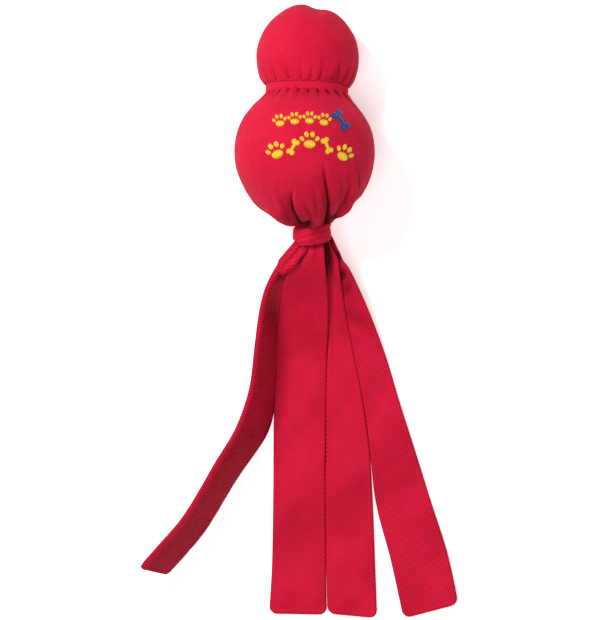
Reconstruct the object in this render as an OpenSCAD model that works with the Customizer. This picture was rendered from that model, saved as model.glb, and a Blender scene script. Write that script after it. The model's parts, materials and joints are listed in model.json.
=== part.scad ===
// Two-ball dog tug toy with four flat fabric tails, lying on its back on a floor.
// Units are millimetres, +Z is up, +Y points to the head end.
// The origin is the point where the large ball rests on the floor.

/* [Balls] */
// Outer radius of the cover on the large ball
body_r = 36; // [35.6:0.1:37]
// Outer radius of the cover on the small ball
head_r = 26.1; // [25.8:0.1:26.6]
// How far each cover is pressed flat where it rests
rest_flat = 0.4; // [0.3:0.1:0.6]
// Distance between the two ball centres, measured level
ball_spacing = 48.1; // [47.8:0.1:49.5]
// Thickness of the gathered cover fabric
cover_wall = 1.8; // [1.4:0.1:1.9]
// Radius of the felt surface of the large ball
felt_r = 33.8; // [33:0.1:33.8]
// Thickness of the felt
felt_wall = 2.8; // [2:0.1:3]
// Thickness of the rubber core
core_wall = 3.3; // [2.5:0.1:4]
// Outer radius of the squeaker ball in the head
squeaker_ball_r = 23; // [22:0.1:23.2]
// Wall of the squeaker ball
squeaker_ball_wall = 1.6; // [1.2:0.1:2.4]

/* [Waist and neck] */
// Outer radius of the waist band
band_r = 21.2; // [21:0.1:21.8]
// Width of the waist band
band_width = 6.2; // [5:0.1:6.6]
// Number of gathers at each end of a cover
gathers = 14; // [8:1:18]
// Outer radius of the wrap round the neck
wrap_r = 9.6; // [9.2:0.1:10.4]
// Length of the wrap round the neck
wrap_length = 8.2; // [7:0.1:8.6]
// Turns of cord under the wrap
binding_turns = 4; // [2:1:5]

/* [Tails] */
// Thickness of a tail, two plies of twill
tail_thick = 2.5; // [2:0.1:3]
// Distance of the stitch row from a tail's edge
stitch_inset = 2.3; // [1.8:0.1:3]
// Length of one stitch
stitch_length = 2.4; // [1.6:0.1:3]
// Distance from one stitch to the next
stitch_pitch = 3.6; // [3.2:0.1:5]
// Gap on each side of a tail's fold line
fold_gap = 1.3; // [1.2:0.1:1.8]

/* [Embroidery] */
// Height of the satin stitch above the cover
satin_height = 0.7; // [0.5:0.1:1]
// Size of the paw
paw_size = 1; // [0.8:0.05:1.1]

/* [Hidden] */
// Gap kept between bodies that turn against each other
play = 0.35;
body_c = [0, 0, body_r - rest_flat];
head_c = [1.6, ball_spacing, head_r - rest_flat];
head_vec = head_c - body_c;
head_dist = norm(head_vec);
head_turn = atan2(head_vec[0], head_vec[1]);
head_dip = asin(head_vec[2] / head_dist);
// The neck runs from the large ball to the tails
neck_vec = [4.4, -50.06, -8.75];
neck_dist = norm(neck_vec);
neck_turn = atan2(neck_vec[0], neck_vec[1]);
neck_dip = asin(neck_vec[2] / neck_dist);
// Everything that swings on the large ball stays outside this radius
shell_r = body_r + play;
neck_shell_r = 39.4;
// The line that all four tails swing about
tail_y = body_c[1] + neck_vec[1];
tail_z = body_c[2] + neck_vec[2];
knuckle_r = 2.6;
core_r = felt_r - felt_wall - 0.1;
ball_at = head_dist + 0.3;
rope_r = 5.5;
half = tail_thick / 2;

// Each tail is a row of stations: left x, y, z then right x, y, z
tail_1_way = [
    [-6.6, tail_y, tail_z, -4.2, tail_y, tail_z],
    [-15.4, -60.5, 27.2, -12, -60, 22.5],
    [-21.6, -75, 27.8, -15.8, -74, 8],
    [-25, -98, 27.6, -17.2, -99, 2.4],
    [-29.2, -122, 27.6, -19.6, -127, 1.6],
    [-35.6, -142, 27.6, -25.6, -149, 1.6],
    [-46.4, -162.5, 27.6, -36.8, -169.5, 1.6],
    [-64.3, -190.5, 27.2, -53.6, -197.5, 1.6],
    [-83.8, -214.6, 26, -70.2, -220.4, 1.8]
];
tail_2_way = [
    [-1.6, tail_y, tail_z, 8.6, tail_y, tail_z],
    [-9.8, -65, 23.2, 10.6, -65, 23.6],
    [-13.6, -82, 12.4, 12.5, -82, 12.8],
    [-15.2, -106, 2.4, 11.8, -106, 2.4],
    [-15.9, -129, half, 11.2, -129, half],
    [-16.2, -155, half, 10.9, -155, half],
    [-16.4, -181, half, 10.8, -181, half],
    [-17, -215, half, 11.2, -215, half],
    [-18.2, -239.5, half, 11.4, -240.2, half]
];
tail_3_way = [
    [9.6, tail_y, tail_z, 12.6, tail_y, tail_z],
    [11.5, -65, 21, 17.6, -65, 21],
    [13.4, -82, 10.8, 20.8, -82, 11],
    [12.8, -106, 2, 25.4, -106, 2],
    [12.1, -129, half, 29.8, -129, half],
    [11.8, -155, half, 33.4, -155, half],
    [11.6, -181, half, 35.2, -181, half],
    [12, -215, half, 36.8, -215, half],
    [12.6, -239.2, half, 37.6, -241.6, half]
];
tail_4_way = [
    [15.2, tail_y, tail_z, 18, tail_y, tail_z],
    [19.2, -65, 20, 24.8, -64, 20.4],
    [21.8, -82, 10, 33.4, -82, 10.6],
    [26.6, -107, 2, 42.6, -106, 2],
    [32, -132, half, 49.6, -130, half],
    [35.2, -158, half, 57.8, -156, half],
    [38.4, -184, half, 66.2, -182, half],
    [45.2, -213, half, 74.6, -209, half],
    [51.4, -241.4, half, 79.6, -233.4, half]
];
// Where along its stations each tail folds
fold_at = 0.6;

// ---- placing ----

// Puts a shape built along +Z on the line from the large ball to the head
module on_head_axis(at = 0) {
    translate(body_c)
    rotate([0, 0, -head_turn])
    rotate([head_dip - 90, 0, 0])
    translate([0, 0, at])
    children();
}

// Puts a shape built along +Z on the line from the large ball to the tails
module on_neck_axis(at = 0) {
    translate(body_c)
    rotate([0, 0, -neck_turn])
    rotate([neck_dip - 90, 0, 0])
    translate([0, 0, at])
    children();
}

// Everything under the floor
module below_floor() {
    translate([-200, -300, -100])
    cube([400, 500, 100]);
}

module ball(at, r) {
    translate(at)
    sphere(r, $fn = 96);
}

// A ring on the Z axis with rounded corners
module rounded_ring(r_in, r_out, length, corner) {
    rotate_extrude($fn = 96)
    translate([r_in, -length / 2])
    union() {
        translate([corner, 0])
        square([r_out - r_in - 2 * corner, length]);
        translate([0, corner])
        square([r_out - r_in, length - 2 * corner]);
        for (x = [corner, r_out - r_in - corner], y = [corner, length - corner]) {
            translate([x, y])
            circle(corner, $fn = 32);
        }
    }
}

// Narrow notches that fan out round the Z axis, one for each gather
module gather_notches(count, r_mid, z_mid, slope, long, deep, wide) {
    for (i = [0 : count - 1]) {
        rotate([0, 0, (i + 0.5) * 360 / count])
        translate([r_mid, 0, z_mid])
        rotate([0, slope, 0])
        linear_extrude(height = long, center = true)
        polygon([[-deep, 0], [deep, -wide], [deep, wide]]);
    }
}

// ---- large ball ----

module body_cover() {
    color([0.82, 0.13, 0.27])
    difference() {
        union() {
            ball(body_c, body_r);
            intersection() {
                on_neck_axis(body_r * cos(48))
                cylinder(h = 14, r1 = body_r * sin(48), r2 = body_r * sin(48) - 14 / tan(48), $fn = 96);
                ball(body_c, neck_shell_r - play);
            }
        }
        ball(body_c, body_r - cover_wall);
        on_head_axis(0)
        cylinder(h = 60, r = 6.5, $fn = 64);
        on_head_axis(0)
        gather_notches(gathers, 18.2, 31.2, -60, 12, 1.1, 0.6);
        on_neck_axis(0)
        gather_notches(gathers, 20.6, 31, -48, 12, 1.1, 0.6);
        below_floor();
    }
}

// One half shell of the rubber core: everything on one side of a thin parting gap
module core_half(side) {
    color([0.16, 0.16, 0.17])
    translate(body_c)
    difference() {
        sphere(core_r, $fn = 96);
        sphere(core_r - core_wall, $fn = 96);
        translate([side > 0 ? -100 : -0.05, -50, -50])
        cube([100.05, 100, 100]);
    }
}

module core_half_a() {
    core_half(-1);
}

module core_half_b() {
    core_half(1);
}

// The room of one dog-bone felt panel: a strap over the ball with two end lobes
module panel_room(gap) {
    b = felt_r / sqrt(2);
    translate([-60, -b + gap / 2, gap / 2])
    cube([120, 2 * b - gap, 60]);
    for (side = [0, 180]) {
        rotate([0, 0, side])
        translate([b + gap / 2, -60, -60])
        cube([60, 120, 61]);
    }
}

// The second panel is the first one turned over and turned a quarter
module other_panel_room(gap) {
    rotate([180, 0, 90])
    panel_room(gap);
}

module felt_shell(r) {
    difference() {
        sphere(r, $fn = 96);
        sphere(felt_r - felt_wall, $fn = 96);
    }
}

module felt_place() {
    color([0.78, 0.86, 0.25])
    translate(body_c)
    children();
}

module felt_panel_a() {
    felt_place()
    intersection() {
        felt_shell(felt_r);
        panel_room(1);
    }
}

module felt_panel_b() {
    felt_place()
    intersection() {
        felt_shell(felt_r);
        other_panel_room(1);
    }
}

module felt_seam() {
    color([0.93, 0.93, 0.88])
    translate(body_c)
    difference() {
        felt_shell(felt_r - 0.9);
        panel_room(0.8);
        other_panel_room(0.8);
    }
}

// A pad of satin stitch: an upright oval cut to a thin skin on the cover
module satin_pad(at, rx, ry, turn) {
    translate([at[0], at[1], body_c[2]])
    rotate([0, 0, turn])
    linear_extrude(height = 60)
    scale([rx, ry])
    circle(1, $fn = 32);
}

module satin_skin() {
    intersection() {
        difference() {
            ball(body_c, body_r + satin_height);
            ball(body_c, body_r - 0.3);
        }
        children();
    }
}

// One paw print of satin pads, turned about its own middle
module paw(at, size, turn) {
    pads = [
        [0, -1.6, 3.1, 2.4, 0], [-4.1, 1.3, 1.1, 1.6, 28], [-1.6, 3.6, 1.2, 1.8, 8],
        [1.6, 3.6, 1.2, 1.8, -8], [4.1, 1.3, 1.1, 1.6, -28]
    ];
    for (p = pads) {
        x = size * (p[0] * cos(turn) - p[1] * sin(turn));
        y = size * (p[0] * sin(turn) + p[1] * cos(turn));
        satin_pad([at[0] + x, at[1] + y], size * p[2], size * p[3], turn + p[4]);
    }
}

// One bone of satin stitch
module bone(at, size, turn) {
    translate([at[0], at[1], body_c[2]])
    rotate([0, 0, turn])
    translate([-3.6 * size, -1 * size, 0])
    cube([7.2 * size, 2 * size, 60]);
    for (x = [-3.6, 3.6], y = [-1.25, 1.25]) {
        bx = size * (x * cos(turn) - y * sin(turn));
        by = size * (x * sin(turn) + y * cos(turn));
        satin_pad([at[0] + bx, at[1] + by], 1.6 * size, 1.6 * size, 0);
    }
}

module paw_embroidery() {
    color([0.94, 0.78, 0.16])
    satin_skin()
    union() {
        paw([-12.6, 14.9], 0.7 * paw_size, 8);
        paw([-5, 15.9], 0.7 * paw_size, 3);
        paw([2.6, 16.2], 0.7 * paw_size, -2);
        paw([10.1, 15.4], 0.7 * paw_size, -8);
        paw([-14.4, -0.6], 0.95 * paw_size, 24);
        paw([2.6, 4.6], 0.95 * paw_size, 0);
        paw([20.2, -1.8], 0.9 * paw_size, -30);
        bone([-5.8, 1.6], 0.8 * paw_size, 62);
        bone([11.6, 2.4], 0.8 * paw_size, -66);
    }
}

module bone_embroidery() {
    color([0.11, 0.26, 0.55])
    satin_skin()
    bone([18.7, 15.4], 1.05 * paw_size, -56);
}

// ---- waist ----

module waist_band() {
    color([0.87, 0.14, 0.29])
    difference() {
        on_head_axis(32.4)
        rounded_ring(band_r - 1.6, band_r, band_width, 0.45);
        on_head_axis(32.7)
        rounded_ring(band_r - 1.2, band_r - 0.4, band_width - 2.2, 0.3);
        ball(body_c, shell_r);
    }
}

module waist_elastic() {
    color([0.9, 0.9, 0.88])
    difference() {
        on_head_axis(32.7)
        rounded_ring(band_r - 1.1, band_r - 0.5, band_width - 2.4, 0.2);
        ball(body_c, shell_r + 0.4);
    }
}

// Bars of thread that close the band on its underside
module waist_stitching() {
    color([0.7, 0.09, 0.2])
    difference() {
        for (i = [0 : 4]) {
            on_head_axis(30.9 + i * 0.8)
            rotate([0, 0, 90])
            rotate_extrude(angle = 14, $fn = 96)
            translate([band_r, 0])
            circle(0.22, $fn = 16);
        }
        ball(body_c, shell_r);
    }
}

// ---- head ----

module head_cover() {
    color([0.82, 0.13, 0.27])
    difference() {
        ball(head_c, head_r);
        on_head_axis(ball_at)
        sphere(squeaker_ball_r + 0.4, $fn = 96);
        // The seat of the waist band
        on_head_axis(0)
        difference() {
            cylinder(h = 32.4 + band_width / 2 + play, r = 60, $fn = 96);
            cylinder(h = 60, r = band_r - 1.6 - play, $fn = 96);
        }
        on_head_axis(0)
        gather_notches(gathers, 23.4, 37.8, 27, 9, 1.2, 0.6);
        on_head_axis(0)
        gather_notches(8, 8.6, head_dist + 24.8, -70, 9, 1.2, 0.6);
        ball(body_c, shell_r);
        below_floor();
    }
}

module squeaker_ball() {
    color([0.93, 0.55, 0.16])
    difference() {
        on_head_axis(ball_at)
        sphere(squeaker_ball_r, $fn = 96);
        ball(body_c, shell_r + 0.3);
        difference() {
            on_head_axis(ball_at)
            sphere(squeaker_ball_r - squeaker_ball_wall, $fn = 96);
            ball(body_c, shell_r + 0.3 + squeaker_ball_wall);
        }
        // The hole that the squeaker sits in
        on_head_axis(ball_at)
        cylinder(h = 40, r = 4.2, $fn = 64);
    }
}

module squeaker_cup() {
    color([0.95, 0.95, 0.93])
    on_head_axis(ball_at + squeaker_ball_r - 8)
    difference() {
        union() {
            cylinder(h = 7.6, r = 4.1, $fn = 64);
            translate([0, 0, 4.6])
            cylinder(h = 0.9, r = 5.2, $fn = 64);
        }
        translate([0, 0, 0.9])
        cylinder(h = 10, r = 3.2, $fn = 64);
        translate([0, 0, -1])
        cylinder(h = 4, r = 0.9, $fn = 32);
    }
}

module squeaker_reed() {
    color([0.8, 0.66, 0.25])
    on_head_axis(ball_at + squeaker_ball_r - 7)
    translate([-2.4, -0.7, 0.1])
    cube([4.8, 1.4, 0.25]);
}

module squeaker_plug() {
    color([0.85, 0.86, 0.88])
    on_head_axis(ball_at + squeaker_ball_r - 4.4)
    difference() {
        cylinder(h = 3.2, r = 3.1, $fn = 64);
        translate([0, 0, -1])
        cylinder(h = 6, r = 0.8, $fn = 32);
    }
}

// ---- neck ----

// Nothing on the neck enters this round space about the tails' line
module tail_clearance() {
    translate([4.4, tail_y, tail_z])
    rotate([0, 90, 0])
    cylinder(h = 60, r = knuckle_r + play, center = true, $fn = 64);
}

// The gathered fabric of the four tails: plies bunched round a middle one
module neck_rope() {
    color([0.77, 0.11, 0.24])
    difference() {
        on_neck_axis(37)
        union() {
            cylinder(h = 14, r = rope_r - 3.1, $fn = 64);
            for (i = [0 : 7]) {
                rotate([0, 0, 11 + i * 45])
                translate([rope_r - 1.5, 0, 0])
                cylinder(h = 14, r = 1.45, $fn = 32);
            }
        }
        ball(body_c, neck_shell_r);
        tail_clearance();
    }
}

module neck_binding() {
    color([0.9, 0.88, 0.84])
    for (i = [0 : binding_turns - 1]) {
        on_neck_axis(44 + (i - (binding_turns - 1) / 2) * 1.35)
        rotate_extrude($fn = 96)
        translate([rope_r + 0.7, 0])
        circle(0.6, $fn = 24);
    }
}

module neck_wrap() {
    color([0.87, 0.14, 0.29])
    difference() {
        on_neck_axis(44)
        rounded_ring(rope_r + 1.5, wrap_r, wrap_length, 0.9);
        ball(body_c, neck_shell_r);
    }
}

// The seam that closes the wrap, on its underside
module neck_wrap_stitching() {
    color([0.7, 0.09, 0.2])
    for (i = [0 : 4]) {
        on_neck_axis(41.8 + i * 1.1)
        rotate([0, 0, -98])
        rotate_extrude(angle = 16, $fn = 96)
        translate([wrap_r, 0])
        circle(0.22, $fn = 16);
    }
}

// ---- tails ----

function unit(v) = v / norm(v);

function mix_rows(a, b, c, d, t) = 0.5 * (
    2 * b + (c - a) * t + (2 * a - 5 * b + 4 * c - d) * t * t
    + (3 * b - a - 3 * c + d) * t * t * t
);

// The station at a share u of the way along a tail
function station(way, u) =
    let (last = len(way) - 1)
    let (k = min(floor(u * last), last - 1))
    mix_rows(
        way[max(k - 1, 0)], way[k], way[k + 1], way[min(k + 2, last)],
        u * last - k
    );

function left_of(s) = [s[0], s[1], s[2]];
function right_of(s) = [s[3], s[4], s[5]];
function middle_of(s) = (left_of(s) + right_of(s)) / 2;

function forward(way, u) = unit(
    middle_of(station(way, min(u + 0.004, 1))) - middle_of(station(way, max(u - 0.004, 0)))
);

function across(way, u) = unit(right_of(station(way, u)) - left_of(station(way, u)));
function upward(way, u) = unit(cross(forward(way, u), across(way, u)));
function width_at(way, u) = norm(right_of(station(way, u)) - left_of(station(way, u)));

// Half the thickness along a tail: a round knuckle at the neck, then thin
function thick_at(u) = u < 0.14 ? half + (knuckle_r - 0.05 - half) * pow(1 - u / 0.14, 2) : half;

// The outline of a cut across a tail: distance in from the nearest edge, share of the half thickness
edge_shape = [[0, 0.3], [0.5, 0.78], [1.2, 0.95], [stitch_inset, 0.76], [stitch_inset + 1.6, 1]];

function side_points(w, h, sign) = concat(
    [for (e = edge_shape) [min(e[0], w * 0.4 * e[0] / (stitch_inset + 1.6)), sign * h * e[1]]],
    [for (i = [len(edge_shape) - 1 : -1 : 0]) [
        w - min(edge_shape[i][0], w * 0.4 * edge_shape[i][0] / (stitch_inset + 1.6)),
        sign * h * edge_shape[i][1]
    ]]
);

function cut_points(w, h) = concat(
    side_points(w, h, 1),
    [for (i = [2 * len(edge_shape) - 1 : -1 : 0]) side_points(w, h, -1)[i]]
);

// One cut, placed at share u, moved along by slip, with its half thickness times squash
function cut_at(way, u, slip, squash, trim) =
    let (s = station(way, u))
    let (a = across(way, u))
    let (n = upward(way, u))
    let (start = left_of(s) + forward(way, u) * slip + a * trim)
    [for (p = cut_points(width_at(way, u) - 2 * trim, thick_at(u) * squash)) start + a * p[0] - n * p[1]];

// Joins a row of cuts into one closed solid
module skin_cuts(cuts) {
    m = len(cuts[0]);
    n = len(cuts);
    points = [for (c = cuts) for (p = c) p];
    sides = [for (i = [0 : n - 2]) for (j = [0 : m - 1]) for (k = [0, 1]) k == 0
        ? [i * m + j, i * m + (j + 1) % m, (i + 1) * m + j]
        : [i * m + (j + 1) % m, (i + 1) * m + (j + 1) % m, (i + 1) * m + j]];
    h = m / 2;
    ends = [for (i = [0 : h - 2]) for (k = [0, 1]) k == 0
        ? [i, m - 1 - i, i + 1]
        : [i + 1, m - 1 - i, m - 2 - i]];
    far = [for (f = ends) [for (q = [2, 1, 0]) (n - 1) * m + f[q]]];
    polyhedron(points = points, faces = concat(sides, ends, far), convexity = 10);
}

module tail_upper(way) {
    steps = 22;
    stop = fold_at - fold_gap / tail_length(way);
    round_steps = [[-2.5, 0.2], [-2.2, 0.53], [-1.6, 0.79], [-0.8, 0.95]];
    color([0.82, 0.12, 0.24])
    skin_cuts(concat(
        [for (r = round_steps) cut_at(way, 0, r[0], r[1], 0)],
        [for (i = [0 : steps]) cut_at(way, stop * i / steps, 0, 1, 0)]
    ));
}

module tail_lower(way) {
    steps = 16;
    start = fold_at + fold_gap / tail_length(way);
    l = tail_length(way);
    // The end corners are rounded: share of the length left, trim on each side
    round_end = [[4, 0], [2.2, 0.5], [1, 1.5], [0.3, 2.7], [0, 4]];
    color([0.82, 0.12, 0.24])
    skin_cuts(concat(
        [for (i = [0 : steps]) cut_at(way, start + (1 - 4.6 / l - start) * i / steps, 0, 1, 0)],
        [for (e = round_end) cut_at(way, 1 - e[0] / l, 0, e[0] == 0 ? 0.5 : 1, e[1])]
    ));
}

// The middle line's length, good enough to space stitches by
function tail_length(way) = path_sum(way, 0, 24);
function path_sum(way, i, n) = i == n ? 0 :
    norm(middle_of(station(way, (i + 1) / n)) - middle_of(station(way, i / n)))
    + path_sum(way, i + 1, n);

// One stitch from share u to share v, inset from the left or the right edge
module stitch(way, u, v, from_right, over) {
    s = [for (q = [u, v])
        let (row = station(way, q))
        let (edge = from_right ? right_of(row) : left_of(row))
        let (a = across(way, q) * (from_right ? -1 : 1))
        edge + a * min(stitch_inset, width_at(way, q) * 0.25)
        + over * upward(way, q) * (thick_at(q) * 0.8)];
    along = unit(s[1] - s[0]);
    up = upward(way, u);
    side = cross(along, up);
    r = 0.32;
    cuts = [for (e = [[0, 0.45], [0.18, 1], [0.82, 1], [1, 0.45]])
        [for (k = [0 : 3]) s[0] + (s[1] - s[0]) * e[0]
            + (side * cos(k * 90) + up * sin(k * 90)) * r * e[1]]];
    stitch_solid(cuts);
}

module stitch_solid(cuts) {
    m = 4;
    n = len(cuts);
    points = [for (c = cuts) for (p = c) p];
    sides = [for (i = [0 : n - 2]) for (j = [0 : m - 1])
        [i * m + j, i * m + (j + 1) % m, (i + 1) * m + (j + 1) % m, (i + 1) * m + j]];
    near = [for (j = [0 : m - 1]) m - 1 - j];
    far = [for (j = [0 : m - 1]) (n - 1) * m + j];
    polyhedron(points = points, faces = concat(sides, [near], [far]), convexity = 2);
}

// A row of stitches down each long edge of a stretch of tail
module stitch_rows(way, from, to) {
    l = tail_length(way);
    count = floor((to - from) * l / stitch_pitch);
    color([0.66, 0.08, 0.19])
    for (i = [0 : count - 1], right = [false, true]) {
        stitch(way, from + i * stitch_pitch / l, from + (i * stitch_pitch + stitch_length) / l, right, 1);
    }
}

module upper_stitching(way) {
    stitch_rows(way, 0.16, fold_at - 3 / tail_length(way));
}

module lower_stitching(way) {
    stitch_rows(way, fold_at + 3 / tail_length(way), 1 - 5 / tail_length(way));
}

// The puff of loose fabric beside the wrap
module tail_1_tuck() {
    color([0.87, 0.14, 0.29])
    hull() {
        translate([-7.8, tail_y - 3.2, 26])
        sphere(2.7, $fn = 24);
        translate([-11.1, tail_y - 7.6, 25.8])
        sphere(3.8, $fn = 24);
        translate([-12.8, tail_y - 11.2, 25])
        sphere(2.6, $fn = 24);
    }
}

module tail_1_upper() {
    tail_upper(tail_1_way);
}

module tail_1_lower() {
    tail_lower(tail_1_way);
}

module tail_2_upper() {
    tail_upper(tail_2_way);
}

module tail_2_lower() {
    tail_lower(tail_2_way);
}

module tail_3_upper() {
    tail_upper(tail_3_way);
}

module tail_3_lower() {
    tail_lower(tail_3_way);
}

module tail_4_upper() {
    tail_upper(tail_4_way);
}

module tail_4_lower() {
    tail_lower(tail_4_way);
}

module tail_1_upper_stitching() {
    upper_stitching(tail_1_way);
}

module tail_1_lower_stitching() {
    lower_stitching(tail_1_way);
}

module tail_2_upper_stitching() {
    upper_stitching(tail_2_way);
}

module tail_2_lower_stitching() {
    lower_stitching(tail_2_way);
}

module tail_3_upper_stitching() {
    upper_stitching(tail_3_way);
}

module tail_3_lower_stitching() {
    lower_stitching(tail_3_way);
}

module tail_4_upper_stitching() {
    upper_stitching(tail_4_way);
}

module tail_4_lower_stitching() {
    lower_stitching(tail_4_way);
}

body_cover();
core_half_a();
core_half_b();
felt_panel_a();
felt_panel_b();
felt_seam();
paw_embroidery();
bone_embroidery();
waist_band();
waist_elastic();
waist_stitching();
head_cover();
squeaker_ball();
squeaker_cup();
squeaker_reed();
squeaker_plug();
neck_rope();
neck_binding();
neck_wrap();
neck_wrap_stitching();
tail_1_tuck();
tail_1_upper();
tail_1_upper_stitching();
tail_1_lower();
tail_1_lower_stitching();
tail_2_upper();
tail_2_upper_stitching();
tail_2_lower();
tail_2_lower_stitching();
tail_3_upper();
tail_3_upper_stitching();
tail_3_lower();
tail_3_lower_stitching();
tail_4_upper();
tail_4_upper_stitching();
tail_4_lower();
tail_4_lower_stitching();
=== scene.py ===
"""Two-ball dog tug toy in red twill with four flat tails, lying on a pale floor."""
import json
import math

import bmesh
import bpy
import numpy as np
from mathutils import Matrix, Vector
from mathutils.bvhtree import BVHTree

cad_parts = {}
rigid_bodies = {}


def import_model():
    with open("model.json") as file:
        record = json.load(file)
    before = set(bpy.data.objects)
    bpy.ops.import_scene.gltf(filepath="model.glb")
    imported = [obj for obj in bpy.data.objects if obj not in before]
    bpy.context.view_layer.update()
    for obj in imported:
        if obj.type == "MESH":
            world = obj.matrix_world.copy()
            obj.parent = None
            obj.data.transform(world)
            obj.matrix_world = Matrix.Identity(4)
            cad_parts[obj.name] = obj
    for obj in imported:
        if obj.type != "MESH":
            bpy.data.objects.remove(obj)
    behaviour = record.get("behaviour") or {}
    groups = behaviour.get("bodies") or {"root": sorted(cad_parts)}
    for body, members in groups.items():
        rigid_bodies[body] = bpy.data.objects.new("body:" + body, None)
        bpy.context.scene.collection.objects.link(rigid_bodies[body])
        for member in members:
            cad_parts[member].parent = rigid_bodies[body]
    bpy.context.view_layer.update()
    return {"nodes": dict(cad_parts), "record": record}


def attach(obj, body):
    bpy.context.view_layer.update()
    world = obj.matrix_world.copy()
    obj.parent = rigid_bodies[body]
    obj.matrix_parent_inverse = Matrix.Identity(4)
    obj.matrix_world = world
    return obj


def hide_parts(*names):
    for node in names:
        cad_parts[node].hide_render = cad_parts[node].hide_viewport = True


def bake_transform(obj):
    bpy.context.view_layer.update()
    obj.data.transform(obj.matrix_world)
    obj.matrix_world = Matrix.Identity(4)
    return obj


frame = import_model()

MM = 0.001

# Sizes that the toy's own parts share, in millimetres
BODY_C = np.array([0.0, 0.0, 35.6])
BODY_R = 36.0
HEAD_C = np.array([1.6, 48.1, 25.7])
HEAD_R = 26.1
NECK_VEC = np.array([4.4, -50.06, -8.75])
BAND_R = 21.2
BAND_AT = 32.4
BAND_WIDTH = 6.2
WRAP_R = 9.6
WRAP_AT = 44.0
WRAP_LENGTH = 8.2


# ---- small sums ----

def unit(v):
    v = np.asarray(v, float)
    return v / np.linalg.norm(v, axis=-1, keepdims=True)


def smooth(low, high, x):
    """0 below low, 1 above high, and an even curve between; low may be the larger."""
    t = np.clip((np.asarray(x, float) - low) / (high - low), 0, 1)
    return t * t * (3 - 2 * t)


def hump(x, middle, width):
    return np.exp(-(((x - middle) / width) ** 2))


def ripple(p, seed, size):
    """Soft uneven waves in space, from minus one to one, about size millimetres long."""
    rng = np.random.default_rng(seed)
    total = np.zeros(len(p))
    for _ in range(9):
        way = unit(rng.normal(size=3))
        total += np.sin(p @ way * (2 * math.pi / (size * rng.uniform(0.7, 1.5))) + rng.uniform(0, 6.28))
    return total / 4.2


HEAD_AXIS = unit(HEAD_C - BODY_C)
NECK_AXIS = unit(NECK_VEC)


def side_axes(axis):
    """Two directions square to an axis; the first is level and the second leans up."""
    side = unit(np.cross(axis, [0, 0, 1.0]))
    return side, np.cross(side, axis)


# ---- camera, light and floor ----

FILM = 24
EYE_HEIGHT = 5000
# The view is this tall at about half the toy's height
MIDDLE_HEIGHT = 18
VIEW_TALL = 322.4


def look_down():
    """A camera far above, looking straight down, so that heights hardly change sizes."""
    cam = bpy.data.cameras.new("camera")
    cam.sensor_fit = "VERTICAL"
    cam.sensor_height = FILM
    cam.lens = FILM * (EYE_HEIGHT - MIDDLE_HEIGHT) / VIEW_TALL
    cam.clip_start = 0.1
    cam.clip_end = 20
    eye = bpy.data.objects.new("camera", cam)
    eye.location = (-2.34 * MM, -82.2 * MM, EYE_HEIGHT * MM)
    bpy.context.scene.collection.objects.link(eye)
    bpy.context.scene.camera = eye


def soft_light(name, place, size, power, colour=(1, 1, 1)):
    lamp = bpy.data.lights.new(name, "AREA")
    lamp.shape = "DISK"
    lamp.size = size
    lamp.energy = power
    lamp.color = colour
    holder = bpy.data.objects.new(name, lamp)
    holder.location = place
    aim = Vector((0, -0.08, 0.02)) - Vector(place)
    holder.rotation_euler = aim.to_track_quat("-Z", "Y").to_euler()
    bpy.context.scene.collection.objects.link(holder)


def studio():
    soft_light("key_light", (-0.8, 0.72, 1.42), 0.45, 25)
    soft_light("top_light", (-0.1, -0.4, 1.9), 0.9, 14.5)
    world = bpy.data.worlds.new("studio")
    world.use_nodes = True
    world.node_tree.nodes["Background"].inputs[0].default_value = (1, 1, 1, 1)
    world.node_tree.nodes["Background"].inputs[1].default_value = 0.14
    bpy.context.scene.world = world
    bpy.context.scene.view_settings.view_transform = "Standard"
    bm = bmesh.new()
    bmesh.ops.create_grid(bm, x_segments=2, y_segments=2, size=4)
    mesh = bpy.data.meshes.new("floor")
    bm.to_mesh(mesh)
    bm.free()
    floor = bpy.data.objects.new("floor", mesh)
    floor.location.z = -0.0003
    bpy.context.scene.collection.objects.link(floor)
    paint = bpy.data.materials.new("floor_white")
    paint.use_nodes = True
    shader = paint.node_tree.nodes["Principled BSDF"]
    shader.inputs["Base Color"].default_value = (0.97, 0.97, 0.97, 1)
    shader.inputs["Roughness"].default_value = 0.9
    shader.inputs["Emission Color"].default_value = (1, 1, 1, 1)
    shader.inputs["Emission Strength"].default_value = 0.5
    mesh.materials.append(paint)


look_down()
studio()


# ---- materials ----

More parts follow.
